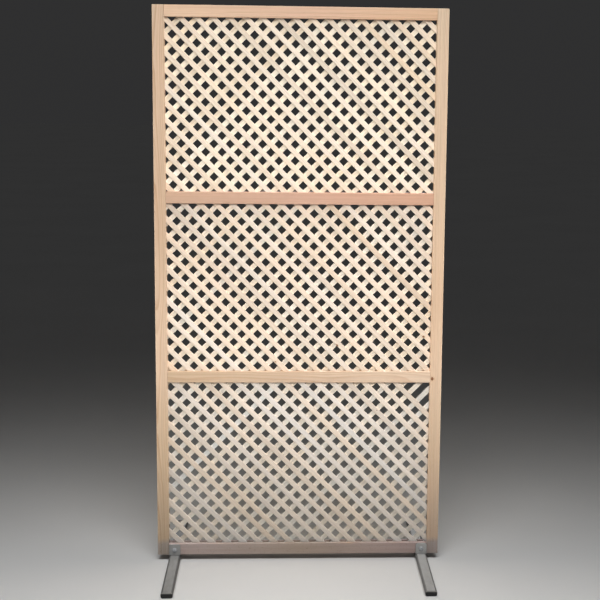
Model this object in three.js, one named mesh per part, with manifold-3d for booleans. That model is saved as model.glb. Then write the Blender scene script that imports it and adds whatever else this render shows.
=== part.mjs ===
// Free-standing garden privacy screen. Millimetres, +Z up, front of the screen towards -Y.
// A pine frame of two stiles and four rails holds three panels of diagonal two-layer lattice
// in grooves. Two oval steel tube feet lie on the ground, front to back, and carry the frame
// in welded U saddles with one through-bolt each.
// Origin: on the ground, midway between the feet, in the middle plane of the frame.

import * as THREE from 'three';
import { mergeVertices } from 'three/addons/utils/BufferGeometryUtils.js';
import Module from 'manifold-3d';

// ---------------------------------------------------------------- driving dimensions
const FRAME_W = 1000;          // outside of stile to outside of stile
const FRAME_H = 1920;          // underside of bottom rail to top of top rail
const BAR = 40;                // stiles and rails are square, BAR x BAR
const ARRIS = 2.2;             // rounding of the long edges of the bars
const GROOVE_W = 14;           // groove for the lattice, centred in the inner edges
const GROOVE_D = 10;
const FIT = 0.2;               // gap left between pieces that bear on each other

const SLAT_W = 17.4;           // lattice slat, face width
const SLAT_T = 6.5;            // thickness of one layer; two layers are crossed
const HALF_X = 27.8;           // half the sideways distance between two openings in a row
const HALF_Z = 28.2;           // half the vertical distance between two openings in a column
const TONGUE = 9;              // how far a lattice panel reaches into each groove
// centre of one opening of the lattice, measured from the centre of its panel: [right, up]
const PHASE = { top: [9.6, 11.0], middle: [20.6, 5.2], bottom: [-5.6, -8.3] };

const TUBE_W = 40;             // foot tube, side to side
const TUBE_H = 20;
const TUBE_R = 8;              // corner radius of the tube
const TUBE_WALL = 2;
const TUBE_LEN = 760;          // without its end caps
const CAP_T = 5;               // visible thickness of an end cap
const CAP_IN = 14;             // length of its plug inside the tube
const FOOT_X = 440;            // centre of each foot from the middle of the screen

const SADDLE_T = 3;            // plate thickness of the U saddle
const SADDLE_W = 40;
const SADDLE_UP = 38;          // how far its legs reach up the bottom rail
const SADDLE_R = 4.5;          // outside bend radius

const BOLT_R = 4;              // M8 cup-head bolt
const BOLT_Z = 16.5;           // above the underside of the frame, between the two joint screws
const SCREW_L = 80;            // 5 x 80 countersunk wood screw
const SCREW_R = 2.5;
const SCREW_HEAD_R = 4.8;
const SCREW_DZ = [[-13, 7], [-7, 7], [-7, 7], [-7, 13]]; // the two screws of each joint from the rail's centre, bottom rail first
const SCREW_SUNK = 0.6;        // heads lie this far under the face of the stile
const PLAY = 0.3;              // gap around screws and bolts

// ---------------------------------------------------------------- derived dimensions
const FRAME_Z = TUBE_H + SADDLE_T + 2 * FIT;              // underside of the frame
const OPEN_W = FRAME_W - 2 * BAR;
const OPEN_H = (FRAME_H - 4 * BAR) / 3;
const PANEL_W = OPEN_W + 2 * TONGUE;
const PANEL_H = OPEN_H + 2 * TONGUE;
const RAIL_Z = [0, 1, 2, 3].map((n) => FRAME_Z + BAR / 2 + n * (BAR + OPEN_H)); // rail centres, bottom to top
const OPEN_Z = [0, 1, 2].map((n) => FRAME_Z + BAR + OPEN_H / 2 + n * (BAR + OPEN_H));

// ---------------------------------------------------------------- materials
const paint = (color, roughness, metalness) => new THREE.MeshStandardMaterial({ color, roughness, metalness });
const framePine = () => paint(0xd9b58c, 0.68, 0);
const slatPine = () => paint(0xf2ddba, 0.7, 0);
const greySteel = () => paint(0x98989a, 0.48, 0.6);
const zincSteel = () => paint(0xb4b6b8, 0.38, 0.9);
const blackPlastic = () => paint(0x141414, 0.55, 0);

// ---------------------------------------------------------------- solids
const wasm = await Module();
wasm.setup();

// A closed indexed geometry with only positions, no zero-area faces, and its faces outwards.
function clean(geometry) {
  let g = geometry.clone();
  g.deleteAttribute('normal');
  g.deleteAttribute('uv');
  g = mergeVertices(g, 1e-4);
  const src = g.index.array;
  const p = g.attributes.position.array;
  const keep = [];
  let volume = 0;
  for (let i = 0; i < src.length; i += 3) {
    const [a, b, c] = [src[i], src[i + 1], src[i + 2]];
    if (a === b || b === c || c === a) continue;
    keep.push(a, b, c);
    const A = new THREE.Vector3().fromArray(p, 3 * a);
    const B = new THREE.Vector3().fromArray(p, 3 * b);
    const C = new THREE.Vector3().fromArray(p, 3 * c);
    volume += A.dot(B.cross(C));
  }
  if (volume < 0) for (let i = 0; i < keep.length; i += 3) [keep[i + 1], keep[i + 2]] = [keep[i + 2], keep[i + 1]];
  g.setIndex(keep);
  return g;
}

function solid(geometry) {
  const g = clean(geometry);
  return new wasm.Manifold(new wasm.Mesh({
    numProp: 3,
    vertProperties: new Float32Array(g.attributes.position.array),
    triVerts: new Uint32Array(g.index.array),
  }));
}

function geometryOf(manifold) {
  const m = manifold.getMesh();
  const g = new THREE.BufferGeometry();
  const n = m.numProp;
  const count = m.vertProperties.length / n;
  const p = new Float32Array(3 * count);
  for (let i = 0; i < count; i++) for (let k = 0; k < 3; k++) p[3 * i + k] = m.vertProperties[n * i + k];
  g.setAttribute('position', new THREE.BufferAttribute(p, 3));
  g.setIndex(Array.from(m.triVerts));
  return g;
}

function shapeOf(points, holes = []) {
  const s = new THREE.Shape(points.map(([x, y]) => new THREE.Vector2(x, y)));
  for (const h of holes) s.holes.push(new THREE.Path(h.map(([x, y]) => new THREE.Vector2(x, y))));
  return s;
}

const AXES = {
  x: [[0, 1, 0], [0, 0, 1], [1, 0, 0]],    // a profile drawn in (Y, Z), run along X
  y: [[0, 0, 1], [1, 0, 0], [0, 1, 0]],    // a profile drawn in (Z, X), run along Y
  z: [[1, 0, 0], [0, 1, 0], [0, 0, 1]],    // a profile drawn in (X, Y), run along Z
  front: [[1, 0, 0], [0, 0, 1], [0, -1, 0]], // a profile drawn in (X, Z), run towards the front
};

// A profile run from `from` to `to` along an axis.
function run(shape, axis, from, to) {
  const g = new THREE.ExtrudeGeometry(shape, { depth: to - from, steps: 1, bevelEnabled: false, curveSegments: 4 });
  g.translate(0, 0, from);
  const [a, b, c] = AXES[axis].map((v) => new THREE.Vector3(...v));
  return g.applyMatrix4(new THREE.Matrix4().makeBasis(a, b, c));
}

function box(x0, x1, y0, y1, z0, z1) {
  return new THREE.BoxGeometry(x1 - x0, y1 - y0, z1 - z0).translate((x0 + x1) / 2, (y0 + y1) / 2, (z0 + z1) / 2);
}

// Corner points of a rectangle with rounded corners, counter-clockwise, `steps` chords to a corner.
function roundRect(w, h, r, steps) {
  const out = [];
  const corners = [[w / 2 - r, h / 2 - r, 0], [-w / 2 + r, h / 2 - r, 90], [-w / 2 + r, -h / 2 + r, 180], [w / 2 - r, -h / 2 + r, 270]];
  for (const [cx, cy, start] of corners) {
    for (let i = 0; i <= steps; i++) {
      const t = THREE.MathUtils.degToRad(start + (90 * i) / steps);
      out.push([cx + r * Math.cos(t), cy + r * Math.sin(t)]);
    }
  }
  return out;
}

// ---------------------------------------------------------------- screws and bolts
// A wood screw along +X with the top of its head at x = 0 and its point at x = -length.
function screwShape(grow) {
  const r = SCREW_R + grow;
  const hr = SCREW_HEAD_R + grow;
  const rise = SCREW_HEAD_R - SCREW_R;
  const top = grow ? SCREW_SUNK + 1 : 0;
  const pts = [[0, -SCREW_L - 1.4 * grow], [r, -SCREW_L + 7], [r, -rise - 0.6]];
  pts.push([hr, -0.6]);
  pts.push([hr, top], [0, top]);
  const g = new THREE.LatheGeometry(pts.map(([x, y]) => new THREE.Vector2(x, y)), 10);
  return g.applyMatrix4(new THREE.Matrix4().makeBasis(new THREE.Vector3(0, -1, 0), new THREE.Vector3(1, 0, 0), new THREE.Vector3(0, 0, 1)));
}

// where each screw's head top lies: [side, rail number, lower (0) or upper (1)]
const screwPlaces = [];
for (const side of [-1, 1]) for (let rail = 0; rail < 4; rail++) for (const v of [0, 1]) screwPlaces.push([side, rail, v]);
const screwAt = ([side, rail, v]) => [side * (FRAME_W / 2 - SCREW_SUNK), 0, RAIL_Z[rail] + SCREW_DZ[rail][v]];
const turned = (g, side) => (side < 0 ? g.rotateZ(Math.PI) : g);

function screwCut(place) {
  const [x, y, z] = screwAt(place);
  return solid(turned(screwShape(PLAY), place[0]).translate(x, y, z));
}

// A round pin along Y.
function pinY(r, y0, y1, segments = 12) {
  return new THREE.LatheGeometry([[0, y0], [r, y0], [r, y1], [0, y1]].map(([x, y]) => new THREE.Vector2(x, y)), segments);
}

// ---------------------------------------------------------------- frame
// Section of a bar, centred: u across the groove's width, v towards the grooved edges.
// `grooved` says whether the edge at -v and the edge at +v carry a groove.
function barSection(grooved) {
  const h = BAR / 2;
  const g = GROOVE_W / 2;
  const pts = [];
  const corner = (cx, cy, start) => {
    for (let i = 0; i <= 2; i++) {
      const t = THREE.MathUtils.degToRad(start + 45 * i);
      pts.push([cx + ARRIS * Math.cos(t), cy + ARRIS * Math.sin(t)]);
    }
  };
  corner(h - ARRIS, h - ARRIS, 0);
  if (grooved[1]) pts.push([g, h], [g, h - GROOVE_D], [-g, h - GROOVE_D], [-g, h]);
  corner(-h + ARRIS, h - ARRIS, 90);
  corner(-h + ARRIS, -h + ARRIS, 180);
  if (grooved[0]) pts.push([-g, -h], [-g, -h + GROOVE_D], [g, -h + GROOVE_D], [g, -h]);
  corner(h - ARRIS, -h + ARRIS, 270);
  return pts;
}

// A stile runs the whole height; its inner edge is grooved all the way.
function stile(side) {
  const x = side * (FRAME_W - BAR) / 2;
  // section drawn in (X, Y): v of the section is the sideways direction, groove on the inner edge
  const pts = barSection([false, true]).map(([u, v]) => [x - side * v, side * u]);
  let s = solid(run(shapeOf(pts), 'z', FRAME_Z, FRAME_Z + FRAME_H));
  for (const p of screwPlaces) if (p[0] === side) s = s.subtract(screwCut(p));
  return geometryOf(s);
}

// A rail fits between the stiles; a stub tenon at each end fills the stiles' groove.
function rail(n) {
  const below = n > 0;
  const above = n < 3;
  const pts = barSection([below, above]);
  const z = RAIL_Z[n];
  const half = OPEN_W / 2 - FIT;
  let s = solid(run(shapeOf(pts), 'x', -half, half).translate(0, 0, z));
  const t = GROOVE_W / 2 - 0.3;
  const lo = z - BAR / 2 + (below ? GROOVE_D : 0);
  const hi = z + BAR / 2 - (above ? GROOVE_D : 0);
  const end = OPEN_W / 2 + GROOVE_D - 0.5;
  s = s.add(solid(box(-end, end, -t, t, lo, hi)));
  for (const p of screwPlaces) if (p[1] === n) s = s.subtract(screwCut(p));
  if (n === 0) {
    for (const side of [-1, 1]) s = s.subtract(solid(pinY(BOLT_R + PLAY, -BAR, BAR).translate(side * FOOT_X, 0, FRAME_Z + BOLT_Z)));
  }
  return geometryOf(s);
}

// ---------------------------------------------------------------- lattice
// Cuts a convex polygon to the half plane a*x + b*z <= c.
function cutBy(poly, a, b, c) {
  const out = [];
  for (let i = 0; i < poly.length; i++) {
    const p = poly[i];
    const q = poly[(i + 1) % poly.length];
    const dp = a * p[0] + b * p[1] - c;
    const dq = a * q[0] + b * q[1] - c;
    if (dp <= 0) out.push(p);
    if ((dp < 0 && dq > 0) || (dp > 0 && dq < 0)) {
      const t = dp / (dp - dq);
      out.push([p[0] + t * (q[0] - p[0]), p[1] + t * (q[1] - p[1])]);
    }
  }
  return out;
}

function areaOf(poly) {
  let a = 0;
  for (let i = 0; i < poly.length; i++) {
    const [p, q] = [poly[i], poly[(i + 1) % poly.length]];
    a += p[0] * q[1] - p[1] * q[0];
  }
  return a / 2;
}

// The slats of one layer. slope +1 falls to the right (the front layer), -1 rises to the right.
// Slat number c is the odd number that x / HALF_X + slope * z / HALF_Z takes on its centre line.
function layer(phase, slope, left) {
  const [w, h] = [PANEL_W / 2, PANEL_H / 2];
  const n = Math.hypot(1 / HALF_X, 1 / HALF_Z);
  const [a, b] = [1 / HALF_X / n, slope / HALF_Z / n];
  const slats = [];
  for (let c = -61; c <= 61; c += 2) {
    if (left(c)) continue;
    const mid = c / n + a * phase[0] + b * phase[1];
    let poly = [[-w, -h], [w, -h], [w, h], [-w, h]];
    poly = cutBy(poly, a, b, mid + SLAT_W / 2);
    poly = cutBy(poly, -a, -b, -(mid - SLAT_W / 2));
    if (poly.length < 3 || areaOf(poly) < 150) continue;
    slats.push({ c, poly, a, b, mid });
  }
  return slats;
}

function crossing(s, t) {
  let poly = cutBy(s.poly, t.a, t.b, t.mid + SLAT_W / 2);
  poly = cutBy(poly, -t.a, -t.b, -(t.mid - SLAT_W / 2));
  return poly.length < 3 ? 0 : areaOf(poly);
}

// The slats are fixed to each other wherever they cross, so a panel is handled as one piece.
// A slat too short to cross another falls out and is left out.
function lattice(phase, missing) {
  const front = layer(phase, 1, missing);
  const back = layer(phase, -1, () => false);
  const all = [...front, ...back];
  const group = new Set([front[Math.floor(front.length / 2)]]);
  for (let grown = true; grown;) {
    grown = false;
    for (const s of all) {
      if (group.has(s)) continue;
      const others = front.includes(s) ? back : front;
      if (others.some((t) => group.has(t) && crossing(s, t) > 60)) { group.add(s); grown = true; }
    }
  }
  let whole = null;
  for (const s of all) {
    if (!group.has(s)) continue;
    const y = front.includes(s) ? 0 : -SLAT_T;
    const piece = solid(run(shapeOf(s.poly), 'front', y, y + SLAT_T));
    whole = whole ? whole.add(piece) : piece;
  }
  return geometryOf(whole);
}

// ---------------------------------------------------------------- feet
function tube() {
  const outer = roundRect(TUBE_H, TUBE_W, TUBE_R, 4);
  const inner = roundRect(TUBE_H - 2 * TUBE_WALL, TUBE_W - 2 * TUBE_WALL, TUBE_R - TUBE_WALL, 4);
  return run(shapeOf(outer, [inner.slice().reverse()]), 'y', -TUBE_LEN / 2, TUBE_LEN / 2);
}

// End cap for the front end: a flange over the end of the tube and a plug inside it.
function cap() {
  const flange = run(shapeOf(roundRect(TUBE_H, TUBE_W, TUBE_R, 4)), 'y', -CAP_T, -FIT);
  const g = TUBE_WALL + PLAY;
  const plug = run(shapeOf(roundRect(TUBE_H - 2 * g, TUBE_W - 2 * g, TUBE_R - g, 3)), 'y', -1, CAP_IN);
  return geometryOf(solid(flange).add(solid(plug)));
}

// U saddle, bent from plate: a base on the tube and a leg up the front and the back of the rail.
function saddle() {
  const inner = BAR / 2 + FIT;
  const outer = inner + SADDLE_T;
  const top = SADDLE_T + FIT + SADDLE_UP;
  const pts = [];
  const bend = (cy, cz, r, from, to) => {
    for (let i = 0; i <= 3; i++) {
      const t = THREE.MathUtils.degToRad(from + ((to - from) * i) / 3);
      pts.push([cy + r * Math.cos(t), cz + r * Math.sin(t)]);
    }
  };
  const ri = SADDLE_R - SADDLE_T;
  bend(-outer + SADDLE_R, SADDLE_R, SADDLE_R, 180, 270);
  bend(outer - SADDLE_R, SADDLE_R, SADDLE_R, 270, 360);
  pts.push([outer, top], [inner, top]);
  bend(inner - ri, SADDLE_T + ri, ri, 360, 270);
  bend(-inner + ri, SADDLE_T + ri, ri, 270, 180);
  pts.push([-inner, top], [-outer, top]);
  let s = solid(run(shapeOf(pts), 'x', -SADDLE_W / 2, SADDLE_W / 2));
  // the corners of the legs are clipped
  for (const side of [-1, 1]) {
    const c = 5;
    const clip = shapeOf([[side * SADDLE_W / 2 - side * c, top], [side * (SADDLE_W / 2 + 1), top - c - 1], [side * (SADDLE_W / 2 + 1), top + 1], [side * SADDLE_W / 2 - side * c, top + 1]]);
    s = s.subtract(solid(run(clip, 'front', -outer - 1, outer + 1)));
  }
  s = s.subtract(solid(pinY(BOLT_R + PLAY, -outer - 2, outer + 2).translate(0, 0, SADDLE_T + FIT + BOLT_Z)));
  return geometryOf(s);
}

// Cup-head bolt from the front, through both legs and the rail.
function bolt() {
  const face = -(BAR / 2 + FIT + SADDLE_T);           // front face of the front leg
  const end = BAR / 2 + FIT + SADDLE_T + 1.6 + 6.5 + 3;
  const pts = [[0, face - 4.6], [4.6, face - 4.1], [7.6, face - 2.6], [9, face - FIT], [BOLT_R, face - FIT], [BOLT_R, end - 1], [BOLT_R - 1, end], [0, end]];
  return clean(new THREE.LatheGeometry(pts.map(([x, y]) => new THREE.Vector2(x, y)), 12));
}

function ring(outline, r, y0, y1) {
  const hole = [];
  for (let i = 0; i < 12; i++) hole.push([r * Math.cos((-i * Math.PI) / 6), r * Math.sin((-i * Math.PI) / 6)]);
  return run(shapeOf(outline, [hole]), 'y', y0, y1);
}

function circle(r, n, turn = 0) {
  return Array.from({ length: n }, (_, i) => [r * Math.cos(turn + (2 * Math.PI * i) / n), r * Math.sin(turn + (2 * Math.PI * i) / n)]);
}

// ---------------------------------------------------------------- assembly
const group = new THREE.Group();
group.name = 'garden_privacy_screen';

function add(parent, name, geometry, material, x = 0, y = 0, z = 0) {
  const g = geometry.index ? geometry : clean(geometry);
  g.computeVertexNormals();
  const mesh = new THREE.Mesh(g, material);
  mesh.name = name;
  mesh.position.set(x, y, z);
  parent.add(mesh);
  return mesh;
}

const frame = new THREE.Group();
add(frame, 'left_stile', stile(-1), framePine());
add(frame, 'right_stile', stile(1), framePine());
['bottom_rail', 'lower_mid_rail', 'upper_mid_rail', 'top_rail'].forEach((name, n) => add(frame, name, rail(n), framePine()));
const railWord = ['bottom', 'lower_mid', 'upper_mid', 'top'];
for (const p of screwPlaces) {
  const [side, n, v] = p;
  const name = `frame_screw_${side < 0 ? 'left' : 'right'}_${railWord[n]}_${v ? 'upper' : 'lower'}`;
  add(frame, name, clean(turned(screwShape(0), side)), zincSteel(), ...screwAt(p));
}
group.add(frame);

const panels = new THREE.Group();
// In the bottom panel the short slats across the top right corner are missing.
add(panels, 'lattice_panel_bottom', lattice(PHASE.bottom, (c) => c >= 25), slatPine(), 0, 0, OPEN_Z[0]);
add(panels, 'lattice_panel_middle', lattice(PHASE.middle, () => false), slatPine(), 0, 0, OPEN_Z[1]);
add(panels, 'lattice_panel_top', lattice(PHASE.top, () => false), slatPine(), 0, 0, OPEN_Z[2]);
group.add(panels);

for (const [word, side] of [['left', -1], ['right', 1]]) {
  const foot = new THREE.Group();
  foot.position.set(side * FOOT_X, 0, 0);
  add(foot, `foot_tube_${word}`, clean(tube()), greySteel(), 0, 0, TUBE_H / 2);
  add(foot, `foot_cap_${word}_front`, cap(), blackPlastic(), 0, -TUBE_LEN / 2, TUBE_H / 2);
  const rear = cap().rotateZ(Math.PI);
  add(foot, `foot_cap_${word}_rear`, rear, blackPlastic(), 0, TUBE_LEN / 2, TUBE_H / 2);
  add(foot, `foot_saddle_${word}`, saddle(), greySteel(), 0, 0, TUBE_H + FIT);
  add(foot, `foot_bolt_${word}`, bolt(), zincSteel(), 0, 0, FRAME_Z + BOLT_Z);
  const back = BAR / 2 + FIT + SADDLE_T + FIT;
  add(foot, `foot_washer_${word}`, clean(ring(circle(8, 16), BOLT_R + PLAY, back, back + 1.6)), zincSteel(), 0, 0, FRAME_Z + BOLT_Z);
  add(foot, `foot_nut_${word}`, clean(ring(circle(7.5, 6, Math.PI / 6), BOLT_R + PLAY, back + 1.6 + FIT, back + 1.6 + FIT + 6.5)), zincSteel(), 0, 0, FRAME_Z + BOLT_Z);
  group.add(foot);
}

export default group;
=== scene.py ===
import math
import random

import bmesh
import bpy
import numpy as np
from mathutils import Matrix, Vector

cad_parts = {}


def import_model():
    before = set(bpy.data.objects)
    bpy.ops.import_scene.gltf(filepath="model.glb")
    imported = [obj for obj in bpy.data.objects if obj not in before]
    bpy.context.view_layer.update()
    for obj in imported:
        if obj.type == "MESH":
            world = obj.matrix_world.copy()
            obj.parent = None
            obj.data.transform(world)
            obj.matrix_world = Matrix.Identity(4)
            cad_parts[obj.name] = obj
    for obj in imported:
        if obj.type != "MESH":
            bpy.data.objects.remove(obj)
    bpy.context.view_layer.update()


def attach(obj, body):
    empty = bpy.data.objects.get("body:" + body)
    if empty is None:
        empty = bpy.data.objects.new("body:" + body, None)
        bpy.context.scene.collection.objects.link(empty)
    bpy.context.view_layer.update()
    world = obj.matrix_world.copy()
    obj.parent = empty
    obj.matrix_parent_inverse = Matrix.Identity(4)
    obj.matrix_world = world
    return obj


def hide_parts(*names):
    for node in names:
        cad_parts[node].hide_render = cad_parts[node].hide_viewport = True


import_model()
rng = random.Random(20260)

MM = 0.001

# ------------------------------------------------------------------ dimensions of the frame (mm)
BAR = 40.0
ARRIS = 2.2
GROOVE_W, GROOVE_D = 14.0, 10.0
FRAME_Z, FRAME_H = 23.4, 1920.0
OPEN_W = 920.0
OPEN_H = (FRAME_H - 4 * BAR) / 3
RAIL_Z = [FRAME_Z + BAR / 2 + n * (BAR + OPEN_H) for n in range(4)]
OPEN_Z = [FRAME_Z + BAR + OPEN_H / 2 + n * (BAR + OPEN_H) for n in range(3)]
SLAT_W, SLAT_T = 17.4, 6.5
HALF_X, HALF_Z = 27.8, 28.2
PANEL_W, PANEL_H = OPEN_W + 18.0, OPEN_H + 18.0
PHASE = {"top": (9.6, 11.0), "middle": (20.6, 5.2), "bottom": (-5.6, -8.3)}
SCREW_DZ = [(-13, 7), (-7, 7), (-7, 7), (-7, 13)]
FOOT_X = 440.0
BOLT_Z = FRAME_Z + 16.5


# ------------------------------------------------------------------ mesh helpers
def build(name, verts, faces, sharp=32.0, flip=True):
    """A mesh object from points in millimetres, normals out, smooth except over edges sharper than `sharp` degrees."""
    me = bpy.data.meshes.new(name)
    me.from_pydata([(v[0] * MM, v[1] * MM, v[2] * MM) for v in verts], [], faces)
    me.update()
    if flip:
        outwards(me)
    ob = bpy.data.objects.new(name, me)
    bpy.context.scene.collection.objects.link(ob)
    shade(ob, sharp)
    return ob


def outwards(me):
    bm = bmesh.new()
    bm.from_mesh(me)
    bmesh.ops.recalc_face_normals(bm, faces=bm.faces)
    bm.to_mesh(me)
    bm.free()


def shade(ob, sharp):
    me = ob.data
    me.shade_smooth()
    me.set_sharp_from_angle(angle=math.radians(sharp))


class Soup:
    """Collects closed shells, each made of rings, into one mesh."""

    def __init__(self):
        self.v, self.f = [], []

    def rings(self, rings, close=True):
        n, base = len(rings[0]), len(self.v)
        for r in rings:
            self.v.extend(r)
        for i in range(len(rings) - 1):
            a, b = base + i * n, base + (i + 1) * n
            for j in range(n):
                k = (j + 1) % n
                self.f.append((a + j, a + k, b + k, b + j))
        if close:
            self.f.append(tuple(range(base + n - 1, base - 1, -1)))
            last = base + (len(rings) - 1) * n
            self.f.append(tuple(range(last, last + n)))
        return base

    def loop(self, rings):
        """Rings joined end to end, as for a nut or a washer."""
        n, m, base = len(rings[0]), len(rings), len(self.v)
        for r in rings:
            self.v.extend(r)
        for i in range(m):
            a, b = base + i * n, base + ((i + 1) % m) * n
            for j in range(n):
                k = (j + 1) % n
                self.f.append((a + j, a + k, b + k, b + j))

    def object(self, name, sharp=32.0):
        return build(name, self.v, self.f, sharp)


def round_rect(w, h, r, steps, hold=0.0):
    """Outline of a rounded rectangle, counter-clockwise. `hold` adds a point on the flat beside each end of an arc."""
    out = []
    for cx, cy, start in ((w / 2 - r, h / 2 - r, 0), (-w / 2 + r, h / 2 - r, 90), (-w / 2 + r, -h / 2 + r, 180), (w / 2 - r, -h / 2 + r, 270)):
        arc = [(cx + r * math.cos(math.radians(start + 90 * i / steps)), cy + r * math.sin(math.radians(start + 90 * i / steps))) for i in range(steps + 1)]
        if hold:
            t = math.radians(start)
            arc.insert(0, (arc[0][0] + hold * math.sin(t), arc[0][1] - hold * math.cos(t)))
            t = math.radians(start + 90)
            arc.append((arc[-1][0] - hold * math.sin(t), arc[-1][1] + hold * math.cos(t)))
        out += arc
    return out


def inset(pts, d):
    """A closed counter-clockwise outline moved inwards by d."""
    out = []
    n = len(pts)
    for i in range(n):
        (x0, y0), (x1, y1), (x2, y2) = pts[i - 1], pts[i], pts[(i + 1) % n]
        a, b = Vector((x1 - x0, y1 - y0)).normalized(), Vector((x2 - x1, y2 - y1)).normalized()
        na, nb = Vector((-a.y, a.x)), Vector((-b.y, b.x))
        k = d / max(0.35, 1 + na.dot(nb))
        out.append((x1 + (na.x + nb.x) * k, y1 + (na.y + nb.y) * k))
    return out


def boolean(ob, cutter, operation):
    m = ob.modifiers.new("cut", "BOOLEAN")
    m.operation, m.solver, m.object = operation, "EXACT", cutter
    deps = bpy.context.evaluated_depsgraph_get()
    new = bpy.data.meshes.new_from_object(ob.evaluated_get(deps))
    old, ob.data = ob.data, new
    ob.modifiers.clear()
    bpy.data.meshes.remove(old)
    mesh = cutter.data
    bpy.data.objects.remove(cutter)
    bpy.data.meshes.remove(mesh)


def lathe(soup, profile, axis, centre, steps=32, turn=0.0):
    """Profile points (radius, distance along the axis), open at neither end: first and last ring are capped."""
    cx, cy, cz = centre
    rings = []
    for r, t in profile:
        ring = []
        for i in range(steps):
            a = turn + 2 * math.pi * i / steps
            p, q = r * math.cos(a), r * math.sin(a)
            ring.append({"x": (cx + t, cy + p, cz + q), "y": (cx + p, cy + t, cz + q), "z": (cx + p, cy + q, cz + t)}[axis])
        rings.append(ring)
    soup.rings(rings)


def attribute(ob, name, kind, values):
    a = ob.data.attributes.new(name, kind, "POINT")
    flat = np.asarray(values, np.float32).ravel()
    a.data.foreach_set("vector" if kind == "FLOAT_VECTOR" else "value", flat)


def points(ob):
    co = np.empty(len(ob.data.vertices) * 3)
    ob.data.vertices.foreach_get("co", co)
    return co.reshape(-1, 3)


def finish_piece(ob, material, slot, *nodes):
    ob.data.materials.clear()
    ob.data.materials.append(material)
    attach(ob, "root")
    if nodes:
        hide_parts(*nodes)
    return ob


# ------------------------------------------------------------------ shader helpers
class Shader:
    def __init__(self, name):
        self.material = bpy.data.materials.new(name)
        self.material.use_nodes = True
        self.tree = self.material.node_tree
        self.tree.nodes.clear()
        out = self.tree.nodes.new("ShaderNodeOutputMaterial")
        self.bsdf = self.tree.nodes.new("ShaderNodeBsdfPrincipled")
        self.tree.links.new(self.bsdf.outputs[0], out.inputs[0])

    def put(self, socket, value):
        if isinstance(value, bpy.types.NodeSocket):
            self.tree.links.new(value, socket)
        elif isinstance(value, (tuple, list)):
            value = tuple(value)
            if socket.type == "RGBA" and len(value) == 3:
                value += (1.0,)
            socket.default_value = value
        else:
            socket.default_value = value

    def node(self, kind, inputs=(), **props):
        n = self.tree.nodes.new(kind)
        for k, v in props.items():
            setattr(n, k, v)
        for k, v in dict(inputs).items():
            self.put(n.inputs[k], v)
        return n

    def math(self, op, *args, clamp=False):
        n = self.node("ShaderNodeMath", operation=op, use_clamp=clamp)
        for s, v in zip(n.inputs, args):
            self.put(s, v)
        return n.outputs[0]

    def vec(self, op, *args):
        n = self.node("ShaderNodeVectorMath", operation=op)
        for s, v in zip(n.inputs, args):
            self.put(s, v)
        return n.outputs["Value" if op in ("LENGTH", "DOT_PRODUCT", "DISTANCE") else "Vector"]

    def scaled(self, vector, x, y, z):
        return self.vec("MULTIPLY", vector, (x, y, z))

    def attr(self, name, output):
        return self.node("ShaderNodeAttribute", attribute_type="GEOMETRY", attribute_name=name).outputs[output]

    def noise(self, vector, scale=1.0, detail=2.0, rough=0.5, output="Fac"):
        n = self.node("ShaderNodeTexNoise", {"Vector": vector, "Scale": scale, "Detail": detail, "Roughness": rough}, noise_dimensions="3D")
        return n.outputs[output]

    def ramp(self, fac, stops, mode="LINEAR"):
        n = self.node("ShaderNodeValToRGB", {"Fac": fac})
        r = n.color_ramp
        r.interpolation = mode
        while len(r.elements) < len(stops):
            r.elements.new(0.5)
        for e, (p, c) in zip(r.elements, stops):
            e.position = p
            e.color = (c, c, c, 1) if isinstance(c, (int, float)) else tuple(c) + (1,)
        return n.outputs[0]

    def mix(self, fac, a, b, mode="MIX"):
        n = self.node("ShaderNodeMix", data_type="RGBA", blend_type=mode, clamp_factor=True)
        self.put(n.inputs[0], fac)
        self.put(n.inputs[6], a)
        self.put(n.inputs[7], b)
        return n.outputs[2]

    def span(self, x, a, b, c=0.0, d=1.0, smooth=True):
        n = self.node("ShaderNodeMapRange", interpolation_type="SMOOTHSTEP" if smooth else "LINEAR")
        for k, v in zip(("Value", "From Min", "From Max", "To Min", "To Max"), (x, a, b, c, d)):
            self.put(n.inputs[k], v)
        return n.outputs[0]

    def place(self):
        """The point on the piece, in the frame of the part, in metres."""
        return self.node("ShaderNodeTexCoord").outputs["Object"]

    def bump(self, height, strength, distance, normal=None):
        n = self.node("ShaderNodeBump", {"Height": height, "Strength": strength, "Distance": distance})
        if normal is not None:
            self.put(n.inputs["Normal"], normal)
        return n.outputs[0]

    def surface(self, **inputs):
        names = {"color": "Base Color", "rough": "Roughness", "metal": "Metallic", "normal": "Normal", "specular": "Specular IOR Level", "coat": "Coat Weight", "coat_rough": "Coat Roughness"}
        for k, v in inputs.items():
            self.put(self.bsdf.inputs[names[k]], v)
        return self.material


def srgb(r, g, b):
    return tuple((c / 255 / 12.92) if c / 255 <= 0.04045 else ((c / 255 + 0.055) / 1.055) ** 2.4 for c in (r, g, b))


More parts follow.
